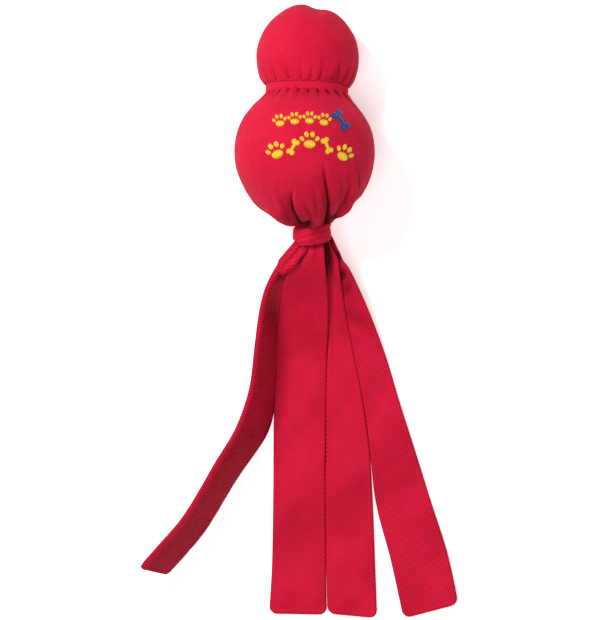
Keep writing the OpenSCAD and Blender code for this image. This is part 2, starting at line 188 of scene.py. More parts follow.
class Nodes:
    """Short hand for a material's node tree."""

    def __init__(self, name):
        self.material = bpy.data.materials.new(name)
        self.material.use_nodes = True
        self.tree = self.material.node_tree
        self.shader = self.tree.nodes["Principled BSDF"]

    def add(self, kind, **settings):
        node = self.tree.nodes.new(kind)
        for key, value in settings.items():
            setattr(node, key, value)
        return node

    def plug(self, value, socket):
        if isinstance(value, (int, float, tuple)):
            socket.default_value = value
        else:
            self.tree.links.new(value, socket)

    def math(self, kind, a, b=0.0, c=0.0):
        node = self.add("ShaderNodeMath", operation=kind)
        for value, socket in zip((a, b, c), node.inputs):
            self.plug(value, socket)
        return node.outputs[0]

    def noise(self, where, scale, detail=3.0, rough=0.55):
        node = self.add("ShaderNodeTexNoise")
        self.plug(where, node.inputs["Vector"])
        node.inputs["Scale"].default_value = scale
        node.inputs["Detail"].default_value = detail
        node.inputs["Roughness"].default_value = rough
        return node.outputs["Fac"]

    def mix(self, share, a, b):
        node = self.add("ShaderNodeMix", data_type="RGBA")
        self.plug(share, node.inputs["Factor"])
        self.plug(a, node.inputs["A"])
        self.plug(b, node.inputs["B"])
        return node.outputs["Result"]

    def span(self, value, low, high, to_low, to_high):
        node = self.add("ShaderNodeMapRange")
        for v, socket in zip((value, low, high, to_low, to_high), node.inputs):
            self.plug(v, socket)
        return node.outputs[0]

    def bump(self, height, strength, distance, under=None):
        node = self.add("ShaderNodeBump")
        node.inputs["Strength"].default_value = strength
        node.inputs["Distance"].default_value = distance
        self.plug(height, node.inputs["Height"])
        if under is not None:
            self.plug(under, node.inputs["Normal"])
        return node.outputs["Normal"]

    def objects(self):
        return self.add("ShaderNodeTexCoord").outputs["Object"]

    def finish(self, rough, sheen=0.0, gloss=0.5):
        self.shader.inputs["Roughness"].default_value = rough
        self.shader.inputs["Sheen Weight"].default_value = sheen
        self.shader.inputs["Specular IOR Level"].default_value = gloss
        return self.material


def twill(name, lean=57.0, pitch=1.27, deep=(0.37, 0.003, 0.014), bright=(0.81, 0.013, 0.060)):
    """Red cotton twill: slanting ribs of twisted yarn. The map is in millimetres of cloth."""
    n = Nodes(name)
    cloth = n.add("ShaderNodeUVMap", uv_map="cloth").outputs["UV"]
    parts = n.add("ShaderNodeSeparateXYZ")
    n.plug(cloth, parts.inputs[0])
    u, v = parts.outputs[0], parts.outputs[1]
    wobble = n.math("MULTIPLY", n.math("SUBTRACT", n.noise(cloth, 0.11, 2), 0.5), 0.9)
    s, c = math.sin(math.radians(lean)), math.cos(math.radians(lean))
    over = n.math("ADD", n.math("SUBTRACT", n.math("MULTIPLY", u, s), n.math("MULTIPLY", v, c)), wobble)
    down = n.math("ADD", n.math("MULTIPLY", u, c), n.math("MULTIPLY", v, s))
    rib = n.math("SINE", n.math("MULTIPLY", over, 2 * math.pi / pitch))
    rib = n.math("MULTIPLY_ADD", rib, 0.5, 0.5)
    rib = n.math("POWER", rib, 0.7)
    # The yarns that make up a rib, each turned a little across it
    twist = n.math("SINE", n.math("MULTIPLY", n.math("ADD", down, n.math("MULTIPLY", over, 0.6)), 2 * math.pi / 0.82))
    twist = n.math("MULTIPLY_ADD", twist, 0.5, 0.5)
    fuzz = n.noise(cloth, 2.6, 4)
    patch = n.noise(cloth, 0.06, 3)
    height = n.math("ADD", rib, n.math("MULTIPLY", n.math("MULTIPLY", twist, rib), 0.35))
    height = n.math("ADD", height, n.math("MULTIPLY", fuzz, 0.25))
    tone = n.math("MULTIPLY_ADD", n.math("SUBTRACT", patch, 0.5), 0.5, n.math("MULTIPLY_ADD", rib, 0.52, 0.31))
    tone = n.math("ADD", tone, n.math("MULTIPLY", n.math("SUBTRACT", fuzz, 0.5), 0.22))
    colour = n.mix(n.math("MINIMUM", n.math("MAXIMUM", tone, 0.0), 1.0), (*deep, 1.0), (*bright, 1.0))
    # Painted shade: each piece's painted shade amount darkens its cloth towards near black, in deep creases where
    # hardly any light gets in
    painted_shade = n.add("ShaderNodeAttribute", attribute_name="painted_shade").outputs["Fac"]
    colour = n.mix(n.math("MINIMUM", painted_shade, 0.92), colour, (0.045, 0.0006, 0.002, 1.0))
    n.plug(colour, n.shader.inputs["Base Color"])
    n.plug(n.bump(height, 0.75, 0.00022), n.shader.inputs["Normal"])
    n.shader.inputs["Sheen Roughness"].default_value = 0.4
    n.shader.inputs["Sheen Tint"].default_value = (1.0, 0.35, 0.45, 1)
    return n.finish(0.85, sheen=0.05, gloss=0.08)


def thread(name, dark, light, gloss=0.5, sheen=0.1):
    """Shiny embroidery or sewing thread: fine twisted strands."""
    n = Nodes(name)
    where = n.objects()
    strands = n.noise(where, 2600, 2)
    patch = n.noise(where, 420, 3)
    tone = n.math("ADD", n.math("MULTIPLY", strands, 0.6), n.math("MULTIPLY", patch, 0.4))
    n.plug(n.mix(n.span(tone, 0.3, 0.7, 0.0, 1.0), (*dark, 1.0), (*light, 1.0)), n.shader.inputs["Base Color"])
    n.plug(n.bump(strands, 0.35, 0.0001), n.shader.inputs["Normal"])
    return n.finish(0.42, sheen=sheen, gloss=gloss)


def grainy(name, dark, light, scale, rough, strength=0.2, sheen=0.0, gloss=0.5):
    """Rubber, felt, plastic or metal with a fine uneven grain."""
    n = Nodes(name)
    where = n.objects()
    grain = n.noise(where, scale, 5)
    patch = n.noise(where, scale / 12, 3)
    tone = n.math("ADD", n.math("MULTIPLY", grain, 0.5), n.math("MULTIPLY", patch, 0.5))
    n.plug(n.mix(n.span(tone, 0.3, 0.7, 0.0, 1.0), (*dark, 1.0), (*light, 1.0)), n.shader.inputs["Base Color"])
    n.plug(n.bump(grain, strength, 0.0002), n.shader.inputs["Normal"])
    return n.finish(rough, sheen=sheen, gloss=gloss)


RED_TWILL = twill("red_twill")
RED_TWILL_EDGE_ON = twill("red_twill_edge_on", lean=21, pitch=1.45)
RED_TWILL_TURNED = twill("red_twill_turned", lean=-17, pitch=1.15)
RED_TWILL_BAND = twill("red_twill_band", lean=38, pitch=1.1)
YELLOW_THREAD = thread("yellow_thread", (0.80, 0.46, 0.012), (0.98, 0.72, 0.04), 0.3)
BLUE_THREAD = thread("blue_thread", (0.006, 0.030, 0.16), (0.018, 0.075, 0.33))
RED_THREAD = thread("red_thread", (0.46, 0.005, 0.024), (0.66, 0.009, 0.042), 0.06, 0.0)


# ---- making pieces ----

def positions(bm):
    return np.array([v.co[:] for v in bm.verts])


def put(corners, points):
    """Moves corners to their places, given in millimetres."""
    for v, p in zip(corners, points * MM):
        v.co = p


def piece(name, bm, material, painted_shade=None):
    mesh = bpy.data.meshes.new(name)
    for f in bm.faces:
        f.smooth = True
    bm.to_mesh(mesh)
    bm.free()
    mesh.materials.append(material)
    # Painted shade: how dark each corner of the cloth is drawn, kept as a point attribute that the twill reads
    if painted_shade is not None:
        painted_shade_values = np.clip(painted_shade, 0, 1).astype(np.float32)
        mesh.attributes.new("painted_shade", "FLOAT", "POINT").data.foreach_set("value", painted_shade_values)
    obj = bpy.data.objects.new(name, mesh)
    bpy.context.scene.collection.objects.link(obj)
    return obj


def map_cloth(bm, across, along, turn=None):
    """Writes each corner's place on the flat cloth, in millimetres; turn is a full way round."""
    layer = bm.loops.layers.uv.new("cloth")
    for f in bm.faces:
        at = [across[loop.vert.index] for loop in f.loops]
        for loop, a in zip(f.loops, at):
            if turn and max(at) - min(at) > turn / 2 and a < max(at) - turn / 2:
                a += turn
            loop[layer].uv = (a, along[loop.vert.index])


def ball_mesh(spokes, rings, axis):
    """A round mesh whose poles lie on an axis, and its corners' directions."""
    bm = bmesh.new()
    bmesh.ops.create_uvsphere(bm, u_segments=spokes, v_segments=rings, radius=1)
    bm.verts.index_update()
    side, lift = side_axes(axis)
    local = positions(bm)
    return bm, local, lambda d: d[:, :1] * side + d[:, 1:2] * lift + d[:, 2:] * axis


def map_ball(bm, ways, radius):
    """Maps the cloth of a ball by its angles about the toy's long axis."""
    lat = np.arcsin(np.clip(ways[:, 1], -1, 1))
    lon = np.arctan2(ways[:, 0], ways[:, 2])
    map_cloth(bm, lon * radius, lat * radius, 2 * math.pi * radius)


def press_flat(points, level):
    """Presses what would be under the floor flat. The cloth's wall takes up the height that is left."""
    low = points[:, 2] < level
    points[low, 2] = level + (points[low, 2] - level) * 0.02


def add_wall(obj, thick):
    wall = obj.modifiers.new("wall", "SOLIDIFY")
    wall.thickness = thick * MM
    wall.offset = -1


def gather_lines(turn, count, seed):
    """Soft ridges with sharp valleys between them round a drawn-in edge: 0 in a valley, 1 on a ridge."""
    rng = np.random.default_rng(seed)
    drift = sum(rng.uniform(0.25, 0.6) * np.sin(k * turn + rng.uniform(0, 6.28)) for k in (2, 3, 5))
    wave = np.abs(np.sin(turn * count / 2 + drift))
    size = 0.72 + 0.28 * sum(np.sin(k * turn + rng.uniform(0, 6.28)) for k in (3, 4, 7)) / 2
    return wave ** 0.75, np.clip(size, 0.25, 1.2)


def along_line(xy, line):
    """Signed distance of each point from a bent line, plus to its left, and the share of the way down it."""
    line = np.asarray(line, float)
    steps = np.linalg.norm(np.diff(line, axis=0), axis=1)
    total, done = steps.sum(), 0.0
    best = np.full(len(xy), 1e9)
    side, share = np.zeros(len(xy)), np.zeros(len(xy))
    for a, b, long in zip(line[:-1], line[1:], steps):
        way = (b - a) / long
        off = xy - a
        t = np.clip(off @ way, 0, long)
        near = a + t[:, None] * way
        gap = np.linalg.norm(xy - near, axis=1)
        sign = np.sign(off[:, 0] * way[1] - off[:, 1] * way[0])
        closer = gap < best
        best[closer] = gap[closer]
        side[closer] = (gap * -sign)[closer]
        share[closer] = ((done + t) / total)[closer]
        done += long
    return side, share


# ---- large ball's cover ----

# Folds on the cover's top that run down into the neck, in plan
POCKET_FOLD = [(-4.6, -18), (-5.1, -21.5), (-5.7, -25.1), (-4.5, -29.8), (-2.1, -34), (0.2, -37), (3.8, -39.4)]
MIDDLE_FOLD = [(10.1, -4), (11, -11.9), (11.9, -17.3), (13.1, -22.7), (13.9, -28.1), (13.1, -32.8), (11.6, -37)]
RIGHT_RIDGE = [(24.4, -5), (25.4, -11), (25.8, -18.5), (24.4, -23.9), (21.7, -29.3), (17.6, -34), (13.4, -37.6)]
LEFT_FOLD = [(-22, -29), (-18.3, -31.6), (-14.1, -34), (-10.5, -36.4), (-6.3, -39.4)]


# The bag's open end, in degrees from the neck, and the least reach that clears the felt ball
BODY_MOUTH = 9.6
OVER_FELT = 34.4
# Half the width of the neck's tube inside the wrap
TUBE_R = 7.2


def cover_radius(off_neck):
    """The bag's reach from the ball's centre, by the angle from the neck in degrees."""
    r = BODY_R + 1.2 * smooth(72, 44, off_neck) + 1.0 * smooth(32, 14, off_neck)
    tube = TUBE_R / np.sin(np.radians(np.clip(off_neck, 8, 90)))
    return np.where(off_neck < 10.6, np.minimum(tube, 43.5), r)


def top_folds(points):
    """How far the drawn-in cloth stands out of the plain bag over its top, and how much shade is painted into its
    creases.
    """
    xy = points[:, :2]
    h, dark = np.zeros(len(xy)), np.zeros(len(xy))
    s, t = along_line(xy, POCKET_FOLD)
    grow = smooth(0.05, 0.5, t)
    h += grow * 1.9 * np.exp(-(np.maximum(s, 0) / 5.0) ** 2) * smooth(-0.5, 0.1, s)
    h -= grow * (4.0 * hump(s, -1.15, 0.75) + 1.5 * hump(s, -3.0, 2.4)) * smooth(1.06, 0.85, t)
    dark += smooth(0.15, 0.5, t) * (1.7 * hump(s, -1.1, 0.75 + 0.8 * t) + 0.4 * hump(s, -3.0, 1.8))
    s, t = along_line(xy, MIDDLE_FOLD)
    grow = smooth(0.0, 0.7, t)
    h += grow * 1.9 * np.exp(-(np.maximum(s, 0) / 4.2) ** 2) * smooth(-0.5, 0.1, s)
    h -= grow * (3.3 * hump(s, -1.0, 0.7) + 1.2 * hump(s, -2.8, 2.0))
    dark += smooth(0.0, 0.45, t) * (1.15 * hump(s, -0.7, 0.65) + 0.3 * hump(s, -2.2, 1.7) * smooth(0.3, 0.7, t))
    s, t = along_line(xy, RIGHT_RIDGE)
    grow = smooth(0.0, 0.55, t)
    h += grow * (1.9 * hump(s, 0, 1.7) - 1.9 * hump(s, 2.9, 1.2) * smooth(0.25, 0.9, t))
    h -= grow * 1.6 * hump(s, -2.5, 1.0) * smooth(1.0, 0.75, t)
    dark += smooth(0.0, 0.4, t) * (0.9 * hump(s, 1.8, 0.7) + 0.4 * hump(s, 3.0, 1.4) * smooth(0.4, 0.9, t))
    dark += smooth(0.3, 0.6, t) * 0.35 * hump(s, -2.3, 0.9)
    s, t = along_line(xy, LEFT_FOLD)
    grow = smooth(0.0, 0.5, t)
    h += grow * (1.5 * hump(s, 1.2, 2.0) - 3.0 * hump(s, -1.1, 0.8))
    dark += smooth(0.1, 0.5, t) * 1.2 * hump(s, -0.9, 0.8)
    # Soft lines in the cloth between the folds, each with a little painted shade
    for line, deep in (
        ([(3, -12), (5.4, -22), (6.4, -32)], 0.5), ([(18, -9), (19.5, -19), (17, -30)], 0.6),
        ([(-14, -16), (-13, -24), (-8, -35)], 0.7), ([(-1, -24), (1.5, -30), (4, -35)], 0.5),
    ):
        s, t = along_line(xy, line)
        h -= deep * smooth(0, 0.6, t) * hump(s, 0, 1.3)
        dark += 0.22 * smooth(0, 0.6, t) * hump(s, -0.3, 1.0)
    # The puff just above the wrap, and the deep pockets beside it, which also get dark painted shade
    h += 1.6 * np.exp(-((xy[:, 0] - 8.0) / 3.4) ** 2 - ((xy[:, 1] + 35.0) / 3.2) ** 2)
    hole = np.exp(-((xy[:, 0] - 15.2) / 2.0) ** 2 - ((xy[:, 1] + 33.6) / 1.7) ** 2)
    pocket = np.exp(-((xy[:, 0] - 1.6) / 2.2) ** 2 - ((xy[:, 1] + 36.2) / 1.15) ** 2)
    return h - 2.4 * hole - 3.6 * pocket, np.minimum(dark, 0.95) + 1.2 * hole + 1.4 * pocket


def make_body_cover():
    bm, local, place = ball_mesh(300, 160, NECK_AXIS)
    # Rings of corners are closer together near the neck, where the folds are
    off = np.degrees(np.arccos(np.clip(local[:, 2], -1, 1)))
    off = 180 * (0.45 * off / 180 + 0.55 * (off / 180) ** 2)
    turn = np.arctan2(local[:, 1], local[:, 0])
    turn = turn + 0.42 * np.cos(turn)
    a = np.radians(off)
    ways = place(np.stack([np.sin(a) * np.cos(turn), np.sin(a) * np.sin(turn), np.cos(a)], 1))
    plain = BODY_C + ways * cover_radius(off)[:, None]
    # Height over the plain bag: folds on top, plain gathers all round the rest of the neck
    up = smooth(-0.25, 0.2, ways[:, 2])
    lines, size = gather_lines(turn, 13, 5)
    drawn = smooth(60, 24, off) * smooth(9, 15, off)
    folds, painted_shade = top_folds(plain)
    h = up * folds * smooth(9.5, 14, off) + (1 - up) * 2.0 * (lines * size - 0.7) * drawn
    # Painted shade in the creases of the folds on top and in the valleys of the gathers round the rest of the neck
    painted_shade = up * painted_shade + (1 - up) * 0.7 * (1 - lines) ** 3 * drawn
    # The loose web of cloth on the left of the neck
    h += 0.8 * np.exp(-((plain[:, 0] + 13) / 8) ** 2 - ((plain[:, 1] + 35) / 5) ** 2)
    # Gathers under the waist band
    from_band = np.degrees(np.arccos(np.clip(ways @ HEAD_AXIS, -1, 1)))
    side, lift = side_axes(HEAD_AXIS)
    round_waist = np.arctan2(ways @ lift, ways @ side)
    lines, size = gather_lines(round_waist, 25, 11)
    near = np.exp(-np.maximum(from_band - 36, 0) / 9.0)
    h += 2.5 * lines * size * near - 1.65 * smooth(76, 38, from_band)
    # Painted shade in the valleys of the gathers under the band, darker on the right, away from the key light
    right = 0.6 + 0.4 * smooth(-0.1, 0.4, ways[:, 0])
    painted_shade += 1.7 * right * (1 - lines) ** 1.5 * smooth(45, 38, from_band)
    h += 0.22 * ripple(plain, 3, 26) + 0.07 * ripple(plain, 4, 7)
    # The felt ball holds the cloth out, and the floor holds it up
    h = np.maximum(h, OVER_FELT - cover_radius(off))
    points = plain + ways * h[:, None]
    press_flat(points, 0.6)
    put(bm.verts, points)
    map_ball(bm, ways, 36.2)
    mouth = [v for v, o in zip(bm.verts, off) if o < BODY_MOUTH]
    bmesh.ops.delete(bm, geom=mouth, context="VERTS")
    obj = piece("body_cover_twill", bm, RED_TWILL, painted_shade=painted_shade[off >= BODY_MOUTH])
    add_wall(obj, 0.5)
    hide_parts("body_cover")
    return obj


# ---- small ball's cover ----

# The cover's open end, in degrees from the waist, its reach there, and the large ball that it sits on
HEAD_MOUTH = 24
HEAD_NECK_R = 19.2
BODY_OUT = 36.45


def make_head_cover():
    bm, local, place = ball_mesh(260, 150, HEAD_AXIS)
    off = np.degrees(np.arccos(np.clip(local[:, 2], -1, 1)))
    turn = np.arctan2(local[:, 1], local[:, 0])
    ways = place(local)
    # The drawn-in edge leans with the band, so the angle is measured a little higher on top
    from_waist = 180 - off + 4.5 * np.sin(turn) * smooth(100, 60, 180 - off)
    # The crown is pulled out a little, with a low peak left of the middle
    level = np.degrees(np.arctan2(ways[:, 0], ways[:, 1]))
    flat = np.sqrt(np.clip(1 - ways[:, 2] ** 2, 0, 1))
    r = HEAD_R - 0.35 + 0.9 * smooth(20, 75, from_waist - 62)
    peak = 1.2 * hump(level, -11, 15) - 1.1 * hump(level, 10, 10) + 0.4 * hump(level, 30, 14)
    r += flat * peak * smooth(70, 30, off)
    # Under the band the cloth turns in, then follows the large ball
    r = r - (r - 25.1 - 0.5 * np.sin(turn)) * smooth(66, 56, from_waist)
    seat = smooth(57.3, 55.8, from_waist)
    r = r * (1 - seat) + seat * np.minimum(r, HEAD_NECK_R / np.maximum(np.sin(np.radians(from_waist)), 0.05))
    to_ball = HEAD_C - BODY_C
    b = ways @ to_ball
    c = to_ball @ to_ball - BODY_OUT ** 2
    meets = -b - np.sqrt(np.maximum(b * b - c, 0))
    r = np.where((b < 0) & (b * b > c), np.minimum(r, meets), r)
    # Gathers over the band, deeper on the right
    lines, size = gather_lines(turn, 21, 23)
    edge = smooth(55.5, 58, from_waist)
    # Painted shade in the valleys of the gathers, darker on the right, away from the key light, and under the waist
    # band's edge
    shade = 0.6 + 0.4 * smooth(-0.1, 0.5, ways[:, 0])
    painted_shade = 0.9 * (1 - lines) ** 2 * smooth(82, 58, from_waist) * shade + 0.5 * smooth(59, 56, from_waist)
    right = 0.75 + 0.5 * smooth(-0.2, 0.8, ways[:, 0])
    near = np.exp(-np.maximum(from_waist - 57, 0) / 14.0)
    h = 2.0 * (lines * size - 0.6) * near * edge * right
    # One long fold on the right
    lean = np.degrees(np.arctan2(ways[:, 0], ways[:, 2]))
    # Painted shade along the long fold
    painted_shade += 0.6 * hump(lean, 38.5, 2.0) * smooth(84, 66, from_waist)
    h += edge * smooth(92, 62, from_waist) * (1.1 * hump(lean, 33, 4.0) - 0.9 * hump(lean, 41, 3.5))
    # Drawn shut at the crown's far end
    lines, size = gather_lines(turn, 9, 31)
    h += 0.9 * (lines * size - 0.6) * smooth(26, 4, off)
    plain = HEAD_C + ways * r[:, None]
    h += edge * (0.2 * ripple(plain, 8, 22) + 0.06 * ripple(plain, 9, 7))
    points = plain + ways * h[:, None]
    press_flat(points, 0.9)
    put(bm.verts, points)
    map_ball(bm, ways, 26.4)
    mouth = [v for v, o in zip(bm.verts, from_waist) if o < HEAD_MOUTH]
    bmesh.ops.delete(bm, geom=mouth, context="VERTS")
    obj = piece("head_cover_twill", bm, RED_TWILL, painted_shade=painted_shade[from_waist >= HEAD_MOUTH])
    add_wall(obj, 0.8)
    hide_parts("head_cover")
    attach(obj, "head")


# ---- rings of folded cloth ----

def cloth_ring(name, axis, centre, outline, steps, shape, material, creases):
    """A strip of cloth turned round an axis. outline is its cut as (out, along) pairs, shape moves it."""
    bm = bmesh.new()
    corners = [bm.verts.new((r, 0, z)) for r, z in outline]
    edges = [bm.edges.new((a, b)) for a, b in zip(corners, corners[1:] + corners[:1])]
    bmesh.ops.spin(
        bm, geom=corners + edges, cent=(0, 0, 0), axis=(0, 0, 1), angle=2 * math.pi, steps=steps, use_merge=True,
        use_duplicate=False,
    )
    bmesh.ops.remove_doubles(bm, verts=bm.verts, dist=0.001)
    bmesh.ops.recalc_face_normals(bm, faces=bm.faces)
    bm.verts.index_update()
    p = positions(bm)
    turn = np.arctan2(p[:, 1], p[:, 0])
    r, z = np.hypot(p[:, 0], p[:, 1]), p[:, 2]
    mean = np.mean([o[0] for o in outline])
    map_cloth(bm, turn * mean, z, 2 * math.pi * mean)
    # Painted shade in the outer creases and towards both edges of the strip
    painted_shade = sum(0.55 * hump(z, c, 0.3) * (r > mean) for c in creases) + 0.4 * smooth(0.7, 1.0, np.abs(z) / z.max())
    r, z = shape(turn, r, z)
    side, lift = side_axes(axis)
    points = centre + (np.cos(turn) * r)[:, None] * side + (np.sin(turn) * r)[:, None] * lift
    put(bm.verts, points + z[:, None] * axis)
    return piece(name, bm, material, painted_shade=painted_shade)


def soft_outline(r_in, r_out, half, creases):
    """The cut through a folded strip: rounded, with shallow creases on its outer face."""
    line = [(r_in, -half + 0.6), (r_in, half - 0.6), (r_in + 0.3, half - 0.1)]
    count = 26
    for i in range(count + 1):
        z = half - 2 * half * i / count
        round_off = 1 - (abs(z) / half) ** 5
        dip = sum(0.32 * math.exp(-(((z - c) / 0.35) ** 2)) for c in creases)
        line.append((r_in + 0.5 + (r_out - r_in - 0.5) * round_off ** 0.6 - dip * round_off, z))
    line.append((r_in + 0.3, -half + 0.1))
    return line


def make_band():
    def shape(turn, r, z):
        lines, size = gather_lines(turn, 25, 11)
        low = smooth(0.5, -3.1, z)
        r = r + 0.3 * (lines * size - 0.5) * low * (r > BAND_R - 1) + 0.22 * np.sin(3 * turn + 1)
        z = z + 0.55 * (1 - lines) * size * low + 0.2 * np.sin(2 * turn + 0.6) - 1.4 * np.sin(turn)
        return r, z

    band = cloth_ring(
        "waist_band_twill", HEAD_AXIS, BODY_C + HEAD_AXIS * (BAND_AT + 0.25),
        soft_outline(BAND_R - 1.4, BAND_R + 0.25, BAND_WIDTH / 2 + 0.1, (1.75,)), 300, shape, RED_TWILL_BAND, (1.75,),
    )
    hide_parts("waist_band")
    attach(band, "waist")


def make_wrap():
    def shape(turn, r, z):
        # The strip lies slanting, fullest in front and nipped in below on the left
        slant = 0.9 * np.cos(turn)
        r = r + 0.35 * np.sin(2 * turn + 0.8) + 0.5 * np.cos(turn) * smooth(2, -4, z) * -1
        r = r - 0.55 * hump(z - 2.6 * np.cos(turn + 0.5), 0.4, 0.8) * (r > 8)
        r = r - 0.45 * hump(z + 2.4 * np.cos(turn + 2.2), 1.0, 0.7) * (r > 8)
        return r, z + slant * 0.5

    wrap = cloth_ring(
        "neck_wrap_twill", NECK_AXIS, BODY_C + NECK_AXIS * (WRAP_AT - 0.7),
        soft_outline(7.0, WRAP_R + 0.2, WRAP_LENGTH / 2 + 1.2, ()), 220, shape, RED_TWILL_TURNED, (),
    )
    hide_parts("neck_wrap")
    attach(wrap, "neck")


# ---- tails ----

# Half the thickness of a tail, and the radius of its end's corners
HALF = 1.25
CORNER = 4.2

# Stations down each tail, left x, y, z and right x, y, z; the first rows are inside the wrap
TAILS = {
    1: [
        (-2.6, -43, 28.5, -0.6, -43, 26), (-4.8, -49.6, 28, -3.0, -49.6, 25), (-9.9, -56, 27.4, -7.4, -56, 22.4),
        (-15.4, -63, 27.6, -9.6, -64, 17), (-20.8, -75, 27.8, -12.3, -74, 7.6), (-24.6, -98, 27.6, -14.9, -99, 2.4),
        (-27.8, -122, 27.6, -15.8, -124, 1.6), (-34.2, -142, 27.6, -19.4, -145, 1.6),
        (-46.0, -162.5, 27.6, -35.6, -169.5, 1.6), (-63.0, -190.5, 27.2, -53.0, -197.5, 1.6),
        (-85.4, -216.4, 26, -72.2, -220, 1.8),
    ],
    2: [
        (-1.0, -43, 30.6, 8.4, -43, 30.6), (-1.2, -49, 31.2, 10.0, -49, 30.8), (-5.4, -56, 29.8, 10.5, -56.5, 28.8),
        (-9.6, -64, 25.8, 11.2, -63.5, 25.2), (-13.5, -82, 12.6, 12.6, -82, 13), (-15.2, -106, 2.8, 11.9, -106, 2.8),
        (-15.9, -129, 1.4, 11.3, -129, 1.4), (-16.2, -155, HALF, 11.0, -155, HALF),
        (-16.4, -181, HALF, 10.9, -181, HALF), (-17, -215, HALF, 11.2, -215, HALF),
        (-18.5, -240.6, HALF, 11.7, -241.2, HALF),
    ],
    3: [
        (9.2, -43, 27.4, 11.0, -43, 25.4), (9.7, -49, 26.2, 13.7, -48.6, 25.6), (10.2, -56, 24.2, 17.4, -55.6, 23.8),
        (10.9, -64, 20.6, 18.6, -64, 20.9), (12.55, -82, 10.4, 21.3, -82, 10.8), (11.85, -106, 2, 26.0, -106, 2.1),
        (11.25, -129, HALF, 30.4, -129, HALF), (10.95, -155, HALF, 34.0, -155, HALF),
        (10.85, -181, HALF, 35.6, -181, HALF), (11.2, -215, HALF, 36.9, -215, HALF),
        (12.0, -240.6, HALF, 37.9, -243, HALF),
    ],
    4: [
        (10.9, -43, 25, 11.8, -43, 23), (13.8, -49, 24.2, 15.4, -48.8, 22.4), (17.4, -56, 22.2, 19.8, -56, 21.6),
        (18.6, -64, 18.6, 24.6, -63.4, 19.6), (21.25, -82, 9.8, 33.3, -82, 10.4), (26.1, -107, 1.9, 42.4, -106, 2),
        (30.85, -132, HALF, 49.6, -130, HALF), (34.2, -158, HALF, 57.9, -156, HALF),
        (37.4, -184, HALF, 66.0, -182, HALF), (45.0, -213, HALF, 74.6, -209, HALF),
        (51.6, -243.2, HALF, 80.4, -235.6, HALF),
    ],
}
# Where the two halves of each tail's cloth meet, as a share of its stations
JOIN = 0.52


def station(way, u):
    """The cut at each share u of the way down a tail, on a smooth line through its stations."""
    way = np.asarray(way, float)
    last = len(way) - 1
    k = np.minimum((u * last).astype(int), last - 1)
    t = (u * last - k)[:, None]
    a, b, c, d = way[np.maximum(k - 1, 0)], way[k], way[k + 1], way[np.minimum(k + 2, last)]
    return 0.5 * (2 * b + (c - a) * t + (2 * a - 5 * b + 4 * c - d) * t ** 2 + (3 * b - a - 3 * c + d) * t ** 3)


def frame_at(way, u):
    """Left edge, direction across, direction up, width and way down, for each share u."""
    s = station(way, u)
    left, right = s[:, :3], s[:, 3:]
    width = np.linalg.norm(right - left, axis=1)
    across = (right - left) / width[:, None]
    ahead, back = station(way, np.minimum(u + 0.003, 1)), station(way, np.maximum(u - 0.003, 0))
    forward = unit(ahead[:, :3] + ahead[:, 3:] - back[:, :3] - back[:, 3:])
    return left, across, unit(np.cross(forward, across)), width, forward


def down_length(way):
    s = station(way, np.linspace(0, 1, 400))
    middle = (s[:, :3] + s[:, 3:]) / 2
    return np.concatenate([[0], np.cumsum(np.linalg.norm(np.diff(middle, axis=0), axis=1))])


def tail_surface(number, u, share, face):
    """A point of a tail's surface: u down it, share from left to right, face -1 under to 1 on top."""
    way = TAILS[number]
    left, across, up, width, _ = frame_at(way, u)
    lengths = down_length(way)
    done = np.interp(u, np.linspace(0, 1, 400), lengths)
    total = lengths[-1]
    # The last few millimetres draw in to round corners
    left_over = total - done
    round_off = CORNER - np.sqrt(np.clip(CORNER ** 2 - (CORNER - left_over) ** 2, 0, None))
    trim = np.where(left_over < CORNER, round_off, 0) * (0.6 if number == 1 else 1)
    trim = np.minimum(trim, width / 2 - 1)
    x = trim + share * (width - 2 * trim)
    from_edge = np.minimum(x - trim, width - trim - x)
    near_end = np.minimum(from_edge, left_over)
    # A turned edge: a firm roll, a slight dip inside it, then a soft middle
    roll = 0.5 if number == 1 else 1.5
    thick = HALF * (0.16 + 0.84 * np.sqrt(np.clip(1 - (1 - np.clip(near_end / roll, 0, 1)) ** 2, 0, 1)))
    thick = thick - 0.16 * hump(near_end, 2.7, 0.8) + 0.12 * smooth(3, 9, near_end)
    thick = thick + 0.9 * smooth(34, 10, done)
    p = left + across * x[:, None] + up * (thick * face)[:, None]
    lying = smooth(70, 110, done) if number != 1 else np.zeros(len(u))
    q = np.stack([x, done, np.zeros(len(u))], 1)
    swell = 0.42 * np.sin(done / 8.6 + x / 9 + number * 1.7) + 0.5 * np.sin(done / 17 - x / 22 + number)
    raise_by = lying * (0.75 + 0.85 * swell)
    p[:, 2] += raise_by * 0.9
    sway = 0.22 * ripple(q, 40 + number, 30)
    p += up * (sway * (1 - lying) + 0.1 * ripple(q, 50 + number, 9) * (face > 0))[:, None]
    p[:, 2] = np.maximum(p[:, 2], 0.05)
    return p, x, done


